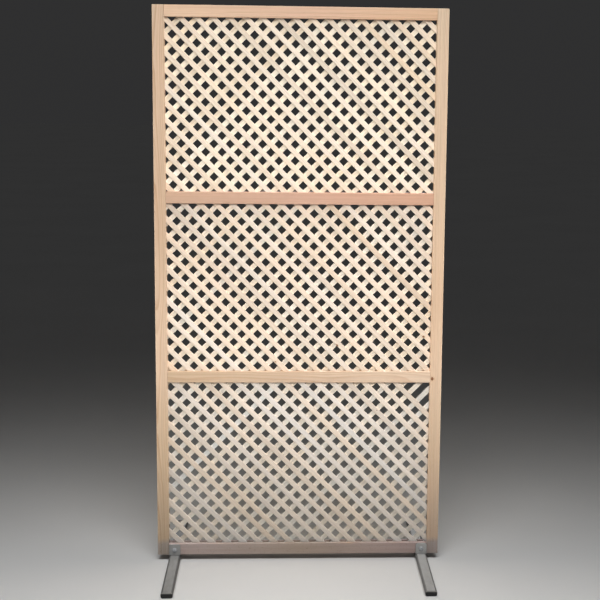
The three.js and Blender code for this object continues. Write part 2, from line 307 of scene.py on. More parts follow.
# ------------------------------------------------------------------ wood
# "grain" holds, at each vertex, the place in the plank the piece was sawn from: metres along the grain, and metres
# from the heart of the log in the two directions across it. "tint" is the piece's own tone, and "edge" marks arrises.
def wood(name, early, late, ring, ring_mix, patch, knots=(), pins=None, rub=0.2, low_shade_and_wet=None, relief=1.0):
    s = Shader(name)
    grain = s.attr("grain", "Vector")
    tint = s.attr("tint", "Vector")
    edge = s.attr("edge", "Fac")

    # nearness to a knot: 1 on its rim, 0 at its heart
    near = None
    for (a, b, c), r, through in knots:
        k = (1 / (1.3 * r), 1 / r, 0.0) if through == "c" else (1 / (1.3 * r), 0.0, 1 / r)
        off = (-a * k[0], -b * k[1], -c * k[2])
        d = s.vec("LENGTH", s.vec("MULTIPLY_ADD", grain, k, off))
        near = d if near is None else s.math("SMOOTH_MIN", near, d, 0.4)
    if pins:
        # pin knots: one to a cell of the plank, kept only where the cell's number says so
        cell = s.scaled(grain, pins[0], 22.0, 22.0)
        vor = s.node("ShaderNodeTexVoronoi", {"Vector": cell, "Scale": 1.0, "Randomness": 1.0}, voronoi_dimensions="3D", feature="F1")
        apart = s.vec("SUBTRACT", vor.outputs["Position"], cell)
        size = s.node("ShaderNodeSeparateColor", {"Color": vor.outputs["Color"]})
        radius = s.span(size.outputs[0], 1 - pins[1], 1.0, 0.0, pins[2], smooth=False)
        flat = s.vec("LENGTH", s.scaled(apart, 1 / (1.4 * pins[0]), 1 / 22.0, 0.0))
        d = s.math("DIVIDE", flat, s.math("MAXIMUM", radius, 1e-5))
        near = d if near is None else s.math("MINIMUM", near, d)

    # annual rings: distance from the heart, bent slowly along the plank and pushed aside round a knot
    bend = s.vec("SUBTRACT", s.noise(s.scaled(grain, 1.4, 6.0, 6.0), detail=1.5, output="Color"), (0.5, 0.5, 0.5))
    bent = s.vec("MULTIPLY_ADD", bend, (0.0, 0.034, 0.034), grain)
    r = s.vec("LENGTH", s.scaled(bent, 0.0, 1.0, 1.0))
    wobble = s.noise(s.scaled(grain, 10.0, 45.0, 45.0), detail=2.0)
    r = s.math("MULTIPLY_ADD", wobble, 0.0016, r)
    if near is not None:
        push = s.math("EXPONENT", s.math("MULTIPLY", s.math("MULTIPLY", near, near), -0.35))
        r = s.math("MULTIPLY_ADD", push, ring * 1.9, r)
    turns = s.math("DIVIDE", r, ring)
    turns = s.math("MULTIPLY_ADD", s.noise(s.scaled(grain, 0.0, 30.0, 30.0), detail=0.0), 1.6, turns)
    part = s.math("FRACT", turns)
    year = s.node("ShaderNodeTexWhiteNoise", {"W": s.math("FLOOR", turns)}, noise_dimensions="1D").outputs["Value"]
    dark = s.ramp(part, [(0.0, 0.22), (0.07, 0.02), (0.45, 0.12), (0.80, 0.78), (0.92, 1.0), (0.985, 0.85), (1.0, 0.22)])
    dark = s.math("MULTIPLY", dark, s.span(year, 0.0, 1.0, 0.45, 1.0, smooth=False))

    fibre = s.noise(s.scaled(grain, 16.0, 900.0, 900.0), detail=2.0, rough=0.6)
    streak = s.noise(s.scaled(grain, 2.6, 150.0, 150.0), detail=2.0)
    broad = s.noise(s.scaled(grain, 1.3, 11.0, 11.0), detail=2.0)
    cloud = s.noise(s.scaled(grain, 5.0, 26.0, 26.0), detail=3.0, rough=0.6)

    color = s.mix(s.math("MULTIPLY", dark, ring_mix), early, late)
    color = s.mix(s.span(broad, 0.38, 0.68), color, s.mix(1.0, color, patch, "MULTIPLY"))
    tone = s.math("MULTIPLY", s.span(fibre, 0.25, 0.75, 0.93, 1.06, smooth=False), s.span(streak, 0.25, 0.75, 0.93, 1.06, smooth=False))
    tone = s.math("MULTIPLY", tone, s.span(cloud, 0.3, 0.7, 0.965, 1.03, smooth=False))
    color = s.vec("SCALE", color, (0, 0, 0), (0, 0, 0), tone)
    color = s.vec("MULTIPLY", color, tint)

    # resin flecks: short, thin, dark lines along the grain
    fleck = s.noise(s.scaled(grain, 55.0, 1500.0, 1500.0), detail=0.0)
    color = s.mix(s.span(fleck, 0.72, 0.80, 0.0, 0.30), color, s.mix(1.0, color, (0.55, 0.42, 0.30), "MULTIPLY"))

    if near is not None:
        halo = s.span(near, 1.0, 2.3, 0.45, 0.0)
        color = s.mix(halo, color, s.mix(1.0, color, (0.80, 0.62, 0.46), "MULTIPLY"))
        heart = s.ramp(near, [(0.0, srgb(112, 70, 42)), (0.35, srgb(146, 94, 58)), (0.75, srgb(118, 72, 44)), (0.93, srgb(74, 44, 28)), (1.0, srgb(96, 60, 38))])
        color = s.mix(s.span(near, 0.93, 1.07, 1.0, 0.0), color, heart)

    # arrises are rubbed a little paler
    color = s.mix(s.math("MULTIPLY", edge, rub), color, s.mix(1.0, color, (1.16, 1.18, 1.22), "MULTIPLY"))

    # the lower part is darkened with painted shade, as if less light reached it near the floor, and the last few
    # centimetres are greyed by splashes
    spot = s.place()
    z = s.node("ShaderNodeSeparateXYZ", {"Vector": spot}).outputs["Z"]
    ragged = s.noise(s.scaled(spot, 9.0, 9.0, 3.0), detail=4.0, rough=0.62)
    level = s.math("MULTIPLY_ADD", s.math("SUBTRACT", ragged, 0.5), low_shade_and_wet[2], z)
    # painted shade: the colour is darkened towards the bottom, standing in for the light falling off there
    dull = s.ramp(s.span(level, 0.0, 0.8, smooth=False), [(h / 0.8, (c[0], c[1], c[2])) for h, c in low_shade_and_wet[0]])
    color = s.vec("MULTIPLY", color, dull)
    wet = s.span(s.math("MULTIPLY_ADD", s.math("SUBTRACT", ragged, 0.5), 0.05, z), 0.062, 0.088, 1.0, 0.0)
    color = s.mix(wet, color, s.mix(1.0, color, low_shade_and_wet[1], "MULTIPLY"))
    splash = s.noise(s.scaled(spot, 130.0, 130.0, 130.0), detail=2.0, rough=0.7)
    specks = s.math("MULTIPLY", s.span(splash, 0.62, 0.70), s.span(z, 0.02, 0.22, 0.5, 0.0))
    color = s.mix(specks, color, s.mix(1.0, color, (0.55, 0.53, 0.50), "MULTIPLY"))

    height = s.math("ADD", s.math("MULTIPLY", fibre, 0.55), s.math("MULTIPLY", dark, 0.35))
    height = s.math("MULTIPLY_ADD", streak, 0.4, height)
    normal = s.bump(height, 0.55 * relief, 0.00035)
    rough = s.math("ADD", s.span(fibre, 0.3, 0.7, 0.56, 0.68, smooth=False), s.math("MULTIPLY", dark, -0.07))
    return s.surface(color=color, rough=rough, normal=normal, specular=0.38)


# ------------------------------------------------------------------ grey painted steel, zinc, black plastic
def painted_steel():
    s = Shader("grey_painted_steel")
    p = s.place()
    peel = s.noise(s.scaled(p, 420.0, 420.0, 420.0), detail=2.0, rough=0.55)
    cloud = s.noise(s.scaled(p, 14.0, 9.0, 22.0), detail=4.0, rough=0.6)
    dust = s.noise(s.scaled(p, 60.0, 18.0, 60.0), detail=4.0, rough=0.7)
    scratch = s.noise(s.scaled(p, 900.0, 26.0, 900.0), detail=1.0)
    z = s.node("ShaderNodeSeparateXYZ", {"Vector": p}).outputs["Z"]
    color = s.mix(s.span(cloud, 0.3, 0.7), srgb(139, 139, 138), srgb(155, 155, 153))
    color = s.mix(s.span(scratch, 0.70, 0.78, 0.0, 0.5), color, srgb(176, 177, 177))
    low = s.span(z, 0.0, 0.02, 0.55, 0.15)
    color = s.mix(s.math("MULTIPLY", s.span(dust, 0.45, 0.70), low), color, srgb(128, 120, 108))
    rough = s.math("ADD", s.span(cloud, 0.3, 0.7, 0.36, 0.46), s.span(dust, 0.4, 0.7, 0.0, 0.16))
    # painted shade: the rounded flanks are painted darker than the flats, as if they got less light, and the tone
    # attribute scales in each piece's painted light and shade
    across = s.node("ShaderNodeSeparateXYZ", {"Vector": s.node("ShaderNodeNewGeometry").outputs["Normal"]}).outputs["X"]
    flank_shade = s.span(s.math("ABSOLUTE", across), 0.06, 0.55, 1.0, 0.34)
    color = s.vec("SCALE", color, (0, 0, 0), (0, 0, 0), s.math("MULTIPLY", flank_shade, s.attr("tone", "Fac")))
    normal = s.bump(peel, 0.16, 0.0004)
    return s.surface(color=color, rough=rough, normal=normal, specular=0.5)


def zinc(name="zinc_plated_steel", gold=False, dull=False):
    s = Shader(name)
    p = s.place()
    cloud = s.noise(s.scaled(p, 170.0, 170.0, 170.0), detail=3.0, rough=0.6)
    brushed = s.noise(s.scaled(p, 2600.0, 420.0, 2600.0), detail=1.0)
    a, b = ((srgb(196, 176, 122), srgb(168, 150, 108)) if gold else (srgb(188, 190, 192), srgb(150, 152, 155)))
    color = s.mix(s.span(cloud, 0.35, 0.65), a, b)
    rust = s.noise(s.scaled(p, 60.0, 60.0, 60.0), detail=4.0, rough=0.75)
    color = s.mix(s.span(rust, 0.66, 0.74, 0.0, 0.6), color, srgb(120, 88, 62))
    if dull:
        color = s.mix(1.0, color, (0.74, 0.74, 0.74), "MULTIPLY")
    low = 0.60 if dull else 0.30
    rough = s.math("ADD", s.span(cloud, 0.3, 0.7, low, low + 0.12), s.span(brushed, 0.3, 0.7, -0.03, 0.05))
    return s.surface(color=color, rough=rough, metal=0.30 if dull else 0.92, normal=s.bump(brushed, 0.06, 0.0001))


def black_plastic():
    s = Shader("black_cap_plastic")
    p = s.place()
    fine = s.noise(s.scaled(p, 1500.0, 1500.0, 1500.0), detail=2.0, rough=0.6)
    scuff = s.noise(s.scaled(p, 90.0, 40.0, 160.0), detail=4.0, rough=0.7)
    color = s.mix(s.span(scuff, 0.52, 0.74, 0.0, 0.8), srgb(22, 22, 23), srgb(62, 61, 59))
    # partly dust and partly painted light: faces that look upwards are painted paler, as if dusty and lit from above
    upward = s.node("ShaderNodeSeparateXYZ", {"Vector": s.node("ShaderNodeNewGeometry").outputs["Normal"]}).outputs["Z"]
    dust_and_top_light = s.math("MULTIPLY", s.span(upward, 0.08, 0.62, 0.0, 0.92), s.span(scuff, 0.2, 0.5, 0.75, 1.0))
    color = s.mix(dust_and_top_light, color, srgb(134, 132, 127))
    rough = s.span(scuff, 0.35, 0.7, 0.42, 0.66)
    return s.surface(color=color, rough=rough, normal=s.bump(fine, 0.22, 0.00015), specular=0.45)


# ------------------------------------------------------------------ camera, as in the photograph
def camera():
    data = bpy.data.cameras.new("camera")
    data.sensor_width, data.sensor_fit = 36.0, "HORIZONTAL"
    data.lens = 1400.0 * 36.0 / 600.0
    data.shift_x, data.shift_y = (300.0 - 360.0) / 600.0, 0.0
    data.clip_start, data.clip_end = 0.05, 200.0
    ob = bpy.data.objects.new("camera", data)
    bpy.context.scene.collection.objects.link(ob)
    yaw, pitch, roll = (math.radians(a) for a in (-3.200, -9.297, -0.715))
    r = Matrix.Rotation(yaw, 3, "Z") @ Matrix.Rotation(pitch, 3, "X") @ Matrix.Rotation(roll, 3, "Y")
    right, ahead, up = r.col[0], r.col[1], r.col[2]
    m = Matrix((right, up, -ahead)).transposed().to_4x4()
    m.translation = Vector((-0.0594, -4.8228, 1.7321))
    ob.matrix_world = m
    bpy.context.scene.camera = ob


camera()

# ------------------------------------------------------------------ frame bars
def bar_section(grooved):
    """(u, v): u across the groove's width, v towards the grooved edges. Counter-clockwise."""
    h, g, c, hold = BAR / 2, GROOVE_W / 2, 0.45, 0.35
    pts = []

    def corner(cx, cy, start):
        arc = [(cx + ARRIS * math.cos(math.radians(start + 90 * i / 6)), cy + ARRIS * math.sin(math.radians(start + 90 * i / 6))) for i in range(7)]
        t = math.radians(start)
        pts.append((arc[0][0] + hold * math.sin(t), arc[0][1] - hold * math.cos(t)))
        pts.extend(arc)
        t = math.radians(start + 90)
        pts.append((arc[-1][0] - hold * math.sin(t), arc[-1][1] + hold * math.cos(t)))

    corner(h - ARRIS, h - ARRIS, 0)
    if grooved[1]:
        pts.extend([(g + c, h), (g, h - c), (g, h - GROOVE_D), (-g, h - GROOVE_D), (-g, h - c), (-g - c, h)])
    corner(-h + ARRIS, h - ARRIS, 90)
    corner(-h + ARRIS, -h + ARRIS, 180)
    if grooved[0]:
        pts.extend([(-g - c, -h), (-g, -h + c), (-g, -h + GROOVE_D), (g, -h + GROOVE_D), (g, -h + c), (g + c, -h)])
    corner(h - ARRIS, -h + ARRIS, 270)
    return pts


def screw_cutter(places):
    soup = Soup()
    for side, z in places:
        prof = [(5.1, 3.0), (5.1, -1.2 + 0.6), (2.8, -2.9), (2.8, -73.0), (0.05, -81.0)]
        lathe(soup, [(r, side * (499.4 + t)) for r, t in prof], "x", (0.0, 0.0, z), steps=24)
    return soup.object("cutter")


def bar(name, section, place, s0, s1, heart, tint, along, eased=0.5, tenons=None, cuts=(), bolts=(), seed=0):
    """place(u, v, s) gives the point; heart is where the log's heart lies, (u, v); tint is a function of s in 0..1."""
    soup = Soup()
    inner = inset(section, eased)
    count = max(2, round((s1 - s0) / 110))
    stations = [s0 + eased + (s1 - s0 - 2 * eased) * i / count for i in range(count + 1)]
    rings = [[place(u, v, s0) for u, v in inner]]
    rings += [[place(u, v, s) for u, v in section] for s in stations]
    rings += [[place(u, v, s1) for u, v in inner]]
    soup.rings(rings)
    ob = soup.object(name)
    if tenons:
        lo, hi, zc = tenons
        more = Soup()
        for side in (-1, 1):
            y, e = 6.7, 0.4
            ring = lambda x, d: [(side * x, -y + d, zc + lo + d), (side * x, y - d, zc + lo + d), (side * x, y - d, zc + hi - d), (side * x, -y + d, zc + hi - d)]
            more.rings([ring(450, 0), ring(469.1, 0), ring(469.5, e)])
        boolean(ob, more.object("tenons"), "UNION")
    if cuts:
        boolean(ob, screw_cutter(cuts), "DIFFERENCE")
    if bolts:
        more = Soup()
        for x in bolts:
            lathe(more, [(4.3, -25.0), (4.3, 25.0)], "y", (x, 0.0, BOLT_Z), steps=24)
        boolean(ob, more.object("cutter"), "DIFFERENCE")
    shade(ob, 32.0)
    co = points(ob) / MM
    # back from the point to (u, v, s)
    if along == "z":
        side = 1 if co[:, 0].mean() > 0 else -1
        u, v, t = side * co[:, 1], -side * (co[:, 0] - side * 480.0), co[:, 2]
    else:
        u, v, t = co[:, 1], co[:, 2] - co[:, 2].mean(), co[:, 0]
        v = co[:, 2] - place(0, 0, 0)[2]
    attribute(ob, "grain", "FLOAT_VECTOR", np.c_[t * MM + 10.0 * seed, (u + heart[0]) * MM, (v + heart[1]) * MM])
    f = np.clip((t - s0) / (s1 - s0), 0, 1)
    attribute(ob, "tint", "FLOAT_VECTOR", np.array([tint(x) for x in f]))
    k = BAR / 2 - ARRIS
    e = np.clip((np.abs(u) - k) / ARRIS, 0, 1) * np.clip((np.abs(v) - k) / ARRIS, 0, 1)
    attribute(ob, "edge", "FLOAT", np.clip(e * 4, 0, 1))
    return ob


def blend_tints(*stops):
    """Tone along a bar: stops are (place 0..1, (r, g, b))."""
    def at(x):
        for (a, c), (b, d) in zip(stops, stops[1:]):
            if x <= b:
                t = 0 if b == a else max(0.0, (x - a) / (b - a))
                return tuple(p + (q - p) * t for p, q in zip(c, d))
        return stops[-1][1]
    return at


# knots: ((along + 10 * seed, across u + heart, across v + heart), radius, through u or v), metres
FRAME_KNOTS = []


def knot(seed, heart, t, u, v, r, through):
    FRAME_KNOTS.append(((t * MM + 10.0 * seed, (u + heart[0]) * MM, (v + heart[1]) * MM), r * MM, through))


HEART = {"left_stile": (38, 22), "right_stile": (-31, -40), "bottom_rail": (24, -46), "lower_mid_rail": (-52, 18), "upper_mid_rail": (30, 34), "top_rail": (-26, 44)}
SEED = {n: i + 1 for i, n in enumerate(HEART)}
# "b": the knot runs through the bar from front to back; "c": from side to side, here well behind the front face
knot(SEED["right_stile"], HEART["right_stile"], 664, 0, 12.5, 4.4, "b")
knot(SEED["right_stile"], HEART["right_stile"], 1378, 6.0, 0, 5.4, "c")
knot(SEED["left_stile"], HEART["left_stile"], 992, 5.0, 0, 4.6, "c")
knot(SEED["left_stile"], HEART["left_stile"], 301, 8.0, 0, 5.0, "c")
knot(SEED["upper_mid_rail"], HEART["upper_mid_rail"], 214, 7.0, 0, 5.6, "c")
knot(SEED["top_rail"], HEART["top_rail"], -96, 5.0, 0, 5.2, "c")
knot(SEED["bottom_rail"], HEART["bottom_rail"], 120, 7.0, 0, 6.0, "c")

frame_wood = wood(
    "frame_pine",
    early=srgb(220, 189, 156), late=srgb(184, 139, 99), ring=0.0033, ring_mix=0.62, patch=(1.0, 0.955, 0.93),
    knots=FRAME_KNOTS, rub=0.30,
    # painted shade: the first ramp darkens the frame towards the floor as if less light reached it; then come the wet
    # greying colour and the raggedness of its edge
    low_shade_and_wet=([(0.0, (0.66, 0.66, 0.66)), (0.135, (0.72, 0.73, 0.73)), (0.24, (0.79, 0.79, 0.77)), (0.375, (0.87, 0.87, 0.83)), (0.535, (0.94, 0.94, 0.91)), (0.70, (1.0, 1.0, 1.0))], (0.71, 0.82, 1.05), 0.10))

TINTS = {
    "left_stile": blend_tints((0, (0.95, 0.98, 1.0)), (0.38, (0.99, 1.02, 1.11)), (0.55, (0.84, 0.84, 0.87)), (1, (0.95, 0.98, 1.05))),
    "right_stile": blend_tints((0, (0.96, 1.0, 1.12)), (0.25, (1.08, 1.13, 1.24)), (0.5, (0.95, 0.95, 0.98)), (1, (1.02, 1.11, 1.22))),
    "bottom_rail": blend_tints((0, (1.31, 1.31, 1.50)), (0.5, (1.05, 1.03, 1.01)), (1, (1.09, 1.03, 1.19))),
    "lower_mid_rail": blend_tints((0, (0.86, 0.87, 0.88)), (0.55, (0.93, 0.95, 1.03)), (1, (1.04, 1.16, 1.34))),
    "upper_mid_rail": blend_tints((0, (0.82, 0.78, 0.84)), (0.5, (0.89, 0.79, 0.89)), (1, (0.90, 0.77, 0.82))),
    "top_rail": blend_tints((0, (1.12, 1.12, 1.18)), (0.5, (1.07, 1.01, 1.10)), (1, (1.05, 0.99, 0.97))),
}

rail_names = ["bottom_rail", "lower_mid_rail", "upper_mid_rail", "top_rail"]
for side, name in ((-1, "left_stile"), (1, "right_stile")):
    heads = [(side, RAIL_Z[n] + d) for n in range(4) for d in SCREW_DZ[n]]
    ob = bar(name + "_wood", bar_section((False, True)), lambda u, v, s, side=side: (side * 480.0 - side * v, side * u, s),
             FRAME_Z, FRAME_Z + FRAME_H, HEART[name], TINTS[name], "z", eased=0.7, cuts=heads, seed=SEED[name])
    finish_piece(ob, frame_wood, "frame_wood", name)
for n, name in enumerate(rail_names):
    below, above = n > 0, n < 3
    zc = RAIL_Z[n]
    lo = -BAR / 2 + (GROOVE_D + 0.05 if below else 0.3)
    hi = BAR / 2 - (GROOVE_D + 0.05 if above else 0.3)
    heads = [(side, zc + d) for side in (-1, 1) for d in SCREW_DZ[n]]
    ob = bar(name + "_wood", bar_section((below, above)), lambda u, v, s, zc=zc: (s, u, zc + v),
             -459.8, 459.8, HEART[name], TINTS[name], "x", eased=0.5, tenons=(lo, hi, zc), cuts=heads,
             bolts=(-FOOT_X, FOOT_X) if n == 0 else (), seed=SEED[name])
    finish_piece(ob, frame_wood, "frame_wood", name)


# ------------------------------------------------------------------ lattice
def cut_by(poly, a, b, c):
    out = []
    for i, p in enumerate(poly):
        q = poly[(i + 1) % len(poly)]
        dp, dq = a * p[0] + b * p[1] - c, a * q[0] + b * q[1] - c
        if dp <= 0:
            out.append(p)
        if (dp < 0 < dq) or (dp > 0 > dq):
            t = dp / (dp - dq)
            out.append((p[0] + t * (q[0] - p[0]), p[1] + t * (q[1] - p[1])))
    return out


def area_of(poly):
    return sum(p[0] * q[1] - p[1] * q[0] for p, q in zip(poly, poly[1:] + poly[:1])) / 2


def layer(phase, slope, missing):
    w, h = PANEL_W / 2, PANEL_H / 2
    n = math.hypot(1 / HALF_X, 1 / HALF_Z)
    a, b = 1 / HALF_X / n, slope / HALF_Z / n
    slats = []
    for c in range(-61, 62, 2):
        if missing(c):
            continue
        mid = c / n + a * phase[0] + b * phase[1]
        poly = [(-w, -h), (w, -h), (w, h), (-w, h)]
        poly = cut_by(poly, a, b, mid + SLAT_W / 2)
        poly = cut_by(poly, -a, -b, -(mid - SLAT_W / 2))
        if len(poly) >= 3 and area_of(poly) >= 150:
            slats.append({"c": c, "poly": poly, "a": a, "b": b, "mid": mid})
    return slats


def crossing(s, t):
    poly = cut_by(s["poly"], t["a"], t["b"], t["mid"] + SLAT_W / 2)
    poly = cut_by(poly, -t["a"], -t["b"], -(t["mid"] - SLAT_W / 2))
    return area_of(poly) if len(poly) >= 3 else 0


def connected(front, back):
    group = [front[len(front) // 2]]
    rest = [s for s in front + back if s is not group[0]]
    grown = True
    while grown:
        grown = False
        for s in list(rest):
            others = back if any(s is f for f in front) else front
            if any(any(t is g for g in group) and crossing(s, t) > 60 for t in others):
                group.append(s)
                rest.remove(s)
                grown = True
    return group


def slat_section(w, t, r=0.85):
    return round_rect(w, t, r, 3, hold=0.3)


def lattice_panel(word, zc, missing, tone):
    phase = PHASE[word]
    front = layer(phase, 1, missing)
    back = layer(phase, -1, lambda c: False)
    kept = connected(front, back)
    w, h = PANEL_W / 2, PANEL_H / 2
    backs = {}
    for slope, slats, where in ((1, front, "front"), (-1, back, "rear")):
        soup = Soup()
        grain, tints, edges = [], [], []
        for slat in slats:
            if not any(slat is k for k in kept):
                continue
            a, b = slat["a"], slat["b"]
            t = (b, -a)
            width = SLAT_W + rng.uniform(-0.45, 0.05)
            thick = SLAT_T - 0.05 - rng.uniform(0.0, 0.35)
            mid = slat["mid"] + rng.uniform(-0.45, 0.45)
            lean = math.radians(rng.uniform(-0.08, 0.08))
            y0 = -thick / 2 - 0.03 if slope > 0 else thick / 2 + 0.03
            section = slat_section(width, thick)
            phi, waves, sway = rng.uniform(0, 6.28), rng.uniform(0.6, 1.6), rng.uniform(0.05, 0.32)

            def ends(v):
                lo, hi = -1e9, 1e9
                for p, d, lim in ((a * (mid + v), t[0], w), (b * (mid + v), t[1], h)):
                    s1, s2 = (-lim - p) / d, (lim - p) / d
                    lo, hi = max(lo, min(s1, s2)), min(hi, max(s1, s2))
                return lo, hi

            span = ends(0)
            length = span[1] - span[0]
            if length < 12:
                continue
            n = max(2, round(length / 70))
            centre = (span[0] + span[1]) / 2
            log = (rng.uniform(40, 130) * rng.choice((-1, 1)), rng.uniform(15, 120) * rng.choice((-1, 1)))
            start = rng.uniform(0.0, 80.0)
            warm = rng.gauss(0.0, 1.0)
            light = min(1.055, 1.0 + 0.060 * rng.gauss(0.0, 1.0))
            if warm > 1.6:
                light *= 0.93
            # painted light: each layer has its own factor, and the rear layer's is raised to cancel the shadow the
            # front slats cast on it
            painted_layer_light = (0.95, 1.045, 1.04) if slope > 0 else (1.03, 1.19, 1.19)
            own = (light * (1.0 + 0.008 * warm), light * (1.0 - 0.016 * warm), light * (1.0 - 0.046 * warm))
            own = tuple(p * q * r for p, q, r in zip(own, painted_layer_light, tone))
            rings = []
            for i in range(n + 1):
                f = i / n
                ring = []
                for v, y in section:
                    lo, hi = ends(max(-width / 2, min(width / 2, v)))
                    s = lo + (hi - lo) * f
                    drift = (s - centre) * math.tan(lean) + sway * math.sin(phi + waves * 2 * math.pi * f)
                    q = mid + v + drift * min(1.0, 8 * f * (1 - f))
                    ring.append((a * q + t[0] * s, y0 + y, zc + b * q + t[1] * s))
                    grain.append((s * MM + start, (v + log[0]) * MM, (y + log[1]) * MM))
                    tints.append(own)
                    edges.append(1.0 if abs(v) > width / 2 - 0.7 and abs(y) > thick / 2 - 0.7 else 0.0)
                rings.append(ring)
            soup.rings(rings)
            backs[id(slat)] = thick
        ob = soup.object(f"lattice_{word}_{where}_slats")
        attribute(ob, "grain", "FLOAT_VECTOR", grain)
        attribute(ob, "tint", "FLOAT_VECTOR", tints)
        attribute(ob, "edge", "FLOAT", edges)
        finish_piece(ob, slat_wood, "lattice_wood", "lattice_panel_" + word)
    # staples, driven from the rear where two slats cross
    soup = Soup()
    section = [(0.62 * math.cos(k * math.pi / 3), 0.34 * math.sin(k * math.pi / 3)) for k in range(6)]
    for s in front:
        for t in back:
            if not (any(s is k for k in kept) and any(t is k for k in kept)) or id(s) not in backs or id(t) not in backs:
                continue
            det = s["a"] * t["b"] - s["b"] * t["a"]
            x = (s["mid"] * t["b"] - s["b"] * t["mid"]) / det
            z = (s["a"] * t["mid"] - s["mid"] * t["a"]) / det
            if abs(x) > OPEN_W / 2 - 4 or abs(z) > OPEN_H / 2 - 4:
                continue
            turn = math.radians(rng.gauss(0, 9))
            dx, dz = rng.uniform(-2.2, 2.2), rng.uniform(-2.2, 2.2)
            face = backs[id(t)] + 0.03
            cs, sn = math.cos(turn), math.sin(turn)
            path = [(-5.2, -2.2), (-5.2, -0.35), (-4.75, 0.12), (-3.9, 0.22), (3.9, 0.22), (4.75, 0.12), (5.2, -0.35), (5.2, -2.2)]
            lean = rng.uniform(-0.12, 0.05)
            rings = []
            for i, (p, q) in enumerate(path):
                p0, p1 = path[max(0, i - 1)], path[min(len(path) - 1, i + 1)]
                d = Vector((p1[0] - p0[0], p1[1] - p0[1])).normalized()
                nx, ny = -d.y, d.x
                ring = []
                for m, k in section:
                    along, out = p + nx * k, q + ny * k + lean
                    ring.append((x + dx + cs * along - sn * m, face + out, zc + z + dz + sn * along + cs * m))
                rings.append(ring)
            soup.rings(rings)
    ob = soup.object(f"lattice_{word}_staples", 50.0)
    finish_piece(ob, staple_zinc, "zinc_steel")


slat_wood = wood(
    "slat_pine",
    early=srgb(243, 217, 200), late=srgb(215, 174, 143), ring=0.0026, ring_mix=0.50, patch=(1.0, 0.975, 0.94),
    pins=(2.4, 0.16, 0.0036), rub=0.22,
    # painted shade: the first ramp darkens the slats towards the floor as if less light reached it; then come the wet
    # greying colour and the raggedness of its edge
    low_shade_and_wet=([(0.0, (0.74, 0.76, 0.78)), (0.166, (0.83, 0.83, 0.84)), (0.356, (0.91, 0.91, 0.92)), (0.546, (0.96, 0.96, 0.97)), (0.66, (1.0, 1.0, 1.0))], (0.90, 0.94, 1.0), 0.10))
staple_zinc = zinc("staple_zinc")
lattice_panel("top", OPEN_Z[2], lambda c: False, (1.08, 1.09, 1.07))
lattice_panel("middle", OPEN_Z[1], lambda c: False, (1.0, 1.0, 1.0))
lattice_panel("bottom", OPEN_Z[0], lambda c: c >= 25, (0.98, 1.03, 1.08))

# ------------------------------------------------------------------ joint screws
screw_zinc = zinc("screw_zinc", gold=True)


def recess(x, y, z, side):
    """A cross recess, as a cutter."""
    soup = Soup()
    for turn in (0.0, math.pi / 2):
        c, s = math.cos(turn + 0.5), math.sin(turn + 0.5)
        rings = []
        for d, half, wide in ((0.8, 2.75, 0.62), (-1.0, 2.2, 0.55), (-2.2, 0.9, 0.4)):
            rings.append([(x + side * d, y + c * p - s * q, z + s * p + c * q) for p, q in ((-half, -wide), (half, -wide), (half, wide), (-half, wide))])
        soup.rings(rings)
    return soup


rail_word = ["bottom", "lower_mid", "upper_mid", "top"]
for side, sname in ((-1, "left"), (1, "right")):
    for n in range(4):
        for d, vname in zip(SCREW_DZ[n], ("lower", "upper")):
            x, z = 499.4, RAIL_Z[n] + d
            soup = Soup()
            prof = [(0.05, -80.0), (1.6, -75.5), (2.3, -73.0)]
            # thread over the far 50 mm
            t = -73.0
            while t < -24.0:
                prof += [(1.75, t), (2.5, t + 1.1), (2.5, t + 1.25), (1.75, t + 1.9)]
                t += 2.6
            prof += [(1.9, -22.0), (1.9, -4.2), (2.6, -3.2), (4.55, -0.75), (4.8, -0.45), (4.8, -0.22), (4.62, -0.03), (4.3, 0.0)]
            lathe(soup, [(r, side * (x + t)) for r, t in prof], "x", (0.0, 0.0, z), steps=28)
            ob = soup.object(f"screw_{sname}_{rail_word[n]}_{vname}", 30.0)
            cut = Soup()
            turn = rng.uniform(0, math.pi)
            for extra in (0.0, math.pi / 2):
                c, s = math.cos(turn + extra), math.sin(turn + extra)
                rings = [[(side * (x + dd), c * p - s * q, z + s * p + c * q) for p, q in ((-half, -wide), (half, -wide), (half, wide), (-half, wide))]
                         for dd, half, wide in ((0.8, 2.8, 0.62), (-1.1, 2.2, 0.55), (-2.3, 0.9, 0.42))]
                cut.rings(rings)
                boolean(ob, cut.object("cutter"), "DIFFERENCE")
                cut = Soup()
            shade(ob, 30.0)
            finish_piece(ob, screw_zinc, "zinc_steel", f"frame_screw_{sname}_{rail_word[n]}_{vname}")

# ------------------------------------------------------------------ feet
steel = painted_steel()
hardware = zinc("bolt_zinc", dull=True)
plastic = black_plastic()


def weld(soup, p0, p1, radius, squash, seed, up=(0, 0, 1)):
    """A lumpy bead from p0 to p1."""
    r = random.Random(seed)
    a, b = Vector(p0), Vector(p1)
    d = (b - a)
    length = d.length
    d.normalize()
    n1 = Vector(up) - d * d.dot(Vector(up))
    n1.normalize()
    n2 = d.cross(n1)
    n = max(8, int(length / 0.42))
    pitch = 1.9
    rings = []
    shift = [r.uniform(-0.18, 0.18) for _ in range(n + 1)]
    for i in range(n + 1):
        f = i / n
        end = min(1.0, math.sqrt(max(0.0, 1 - (1 - min(f, 1 - f) * length / 2.2) ** 2))) if min(f, 1 - f) * length < 2.2 else 1.0
        lump = 1 + 0.13 * abs(math.sin(math.pi * f * length / pitch)) + 0.04 * math.sin(7 * f + seed)
        rad = max(0.12, radius * lump * end)
        c = a + d * (length * f)
        ring = []
        for k in range(12):
            t = 2 * math.pi * k / 12
            ring.append(tuple(c + n1 * (rad * math.cos(t) * squash) + n2 * (rad * math.sin(t) + 0.3 * shift[i])))
        rings.append(ring)
    soup.rings(rings)


